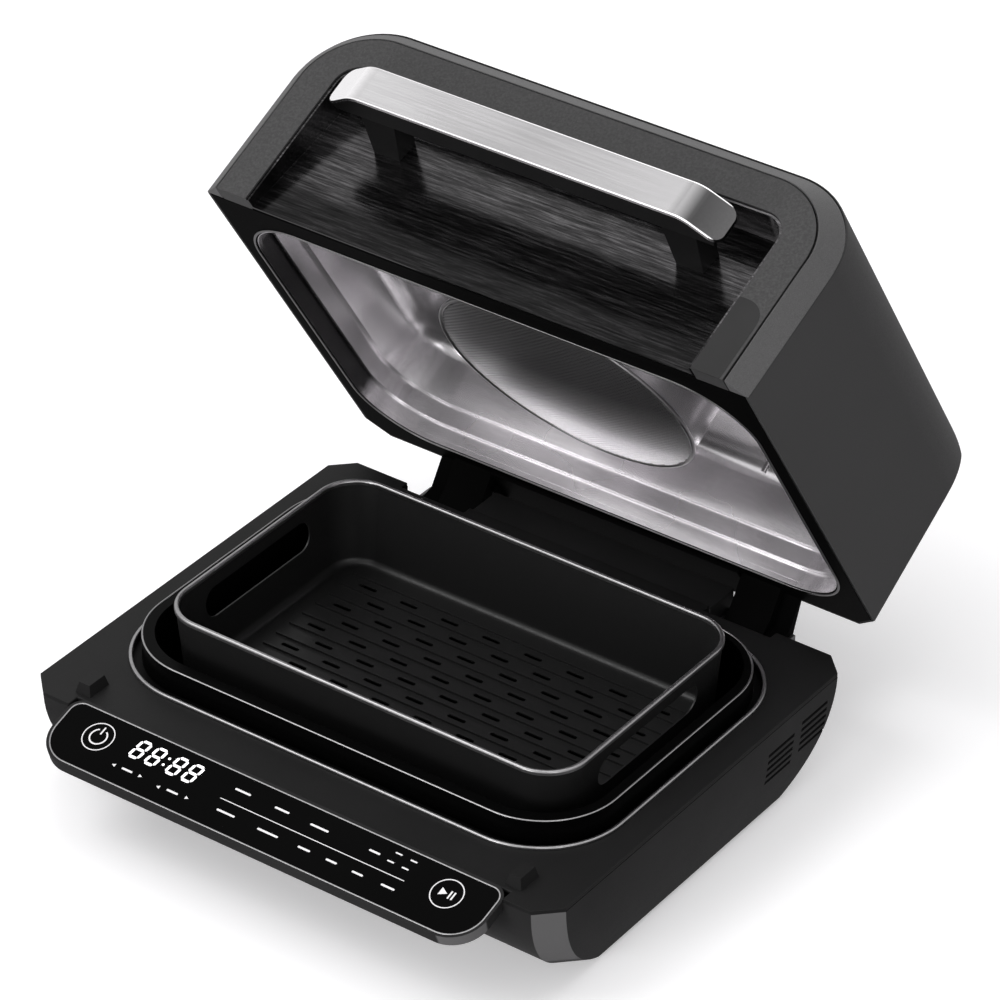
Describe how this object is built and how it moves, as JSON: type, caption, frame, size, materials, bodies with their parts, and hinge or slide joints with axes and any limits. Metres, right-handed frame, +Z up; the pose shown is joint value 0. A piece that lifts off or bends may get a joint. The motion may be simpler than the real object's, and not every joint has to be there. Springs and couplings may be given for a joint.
{
  "type": "air fryer grill",
  "caption": "Countertop air fryer grill with a hinged lid, a lift-out pot and basket, a fan behind a round guard and a sloping control panel.",
  "frame": {"origin": "under the middle of the object's box, at the level of the feet, with the lid open as shown", "axes": "+X to the right seen from the control panel, +Y to the back, +Z up"},
  "size_m": [0.44, 0.5578, 0.464],
  "materials": {
    "base_plastic": "satin moulded plastic",
    "deck_plastic": "satin moulded plastic",
    "plate_plastic": "matt moulded plastic",
    "bright_metal": "polished",
    "well_steel": "matt dark coating",
    "pot_coating": "non-stick coating",
    "basket_coating": "non-stick coating",
    "panel_glass": "glossy black",
    "circuit_board": "solder mask",
    "rubber": "matt",
    "fastener_steel": "zinc plated",
    "hinge_steel": "plain steel",
    "inlet_plastic": "matt",
    "lid_paint": "satin metallic paint",
    "strip_paint": "satin metallic paint",
    "fascia_finish": "fine speckled texture",
    "inlay_plastic": "smooth",
    "panel_steel": "brushed, dark tint",
    "handle_metal": "brushed",
    "handle_plastic": "satin",
    "frame_plastic": "satin",
    "liner_metal": "polished",
    "guard_metal": "satin",
    "heater_steel": "dark oxide",
    "motor_steel": "galvanised",
    "fan_aluminium": "plain",
    "probe_steel": "polished"
  },
  "bodies": {
    "base": {"base_shell": "base_plastic", "deck_cover": "deck_plastic", "seat_ring": "bright_metal", "heat_well": "well_steel", "bottom_plate": "plate_plastic", "base_screw_1": "fastener_steel", "base_screw_2": "fastener_steel", "base_screw_3": "fastener_steel", "base_screw_4": "fastener_steel", "foot_1": "rubber", "foot_2": "rubber", "foot_3": "rubber", "foot_4": "rubber", "lid_bumper_right": "deck_plastic", "lid_bumper_left": "deck_plastic", "panel_housing": "base_plastic", "panel_trim": "bright_metal", "touch_panel": "panel_glass", "display_board": "circuit_board", "power_board": "circuit_board", "hinge_bracket_right": "hinge_steel", "hinge_bracket_left": "hinge_steel", "hinge_pin_right": "hinge_steel", "hinge_pin_left": "hinge_steel", "washer_inner_right": "hinge_steel", "washer_inner_left": "hinge_steel", "washer_outer_right": "hinge_steel", "washer_outer_left": "hinge_steel", "rear_housing": "base_plastic", "mains_inlet": "inlet_plastic"},
    "pot": {"cooking_pot": "pot_coating"},
    "basket": {"fry_basket": "basket_coating", "basket_rim": "bright_metal"},
    "lid": {"lid_shell": "lid_paint", "fascia": "fascia_finish", "fascia_inlay": "inlay_plastic", "trim_strip": "strip_paint", "recess_panel": "panel_steel", "handle_bar": "handle_metal", "handle_core": "handle_plastic", "handle_post_right": "handle_plastic", "handle_post_left": "handle_plastic", "handle_screw_right": "fastener_steel", "handle_screw_left": "fastener_steel", "lid_frame": "frame_plastic", "mouth_gasket": "bright_metal", "cavity_liner": "liner_metal", "fan_collar": "liner_metal", "fan_guard": "guard_metal", "heater_coil": "heater_steel", "fan_motor": "motor_steel", "motor_bracket": "motor_steel", "temperature_probe": "probe_steel", "hinge_arm_right": "frame_plastic", "hinge_arm_left": "frame_plastic", "hinge_cover": "frame_plastic"},
    "fan": {"fan_impeller": "fan_aluminium", "cooling_fan": "fan_aluminium", "fan_shaft": "fan_aluminium"}
  },
  "joints": [
    {"name": "lid_hinge", "type": "hinge", "parent": "base", "child": "lid", "pos_m": [0, 0.13025, 0.0537], "axis": [1, 0, 0], "range_deg": [0, 57.49]},
    {"name": "pot_lift", "type": "slide", "parent": "base", "child": "pot", "axis": [0, 0, -1], "range_m": [-0.012, 0]},
    {"name": "basket_lift", "type": "slide", "parent": "pot", "child": "basket", "axis": [0, 0, -1], "range_m": [-0.016, 0]},
    {"name": "fan_spin", "type": "hinge", "parent": "lid", "child": "fan", "pos_m": [0, 0.10594, 0.25485], "axis": [0, 0.8433, 0.5374], "continuous": true}
  ]
}
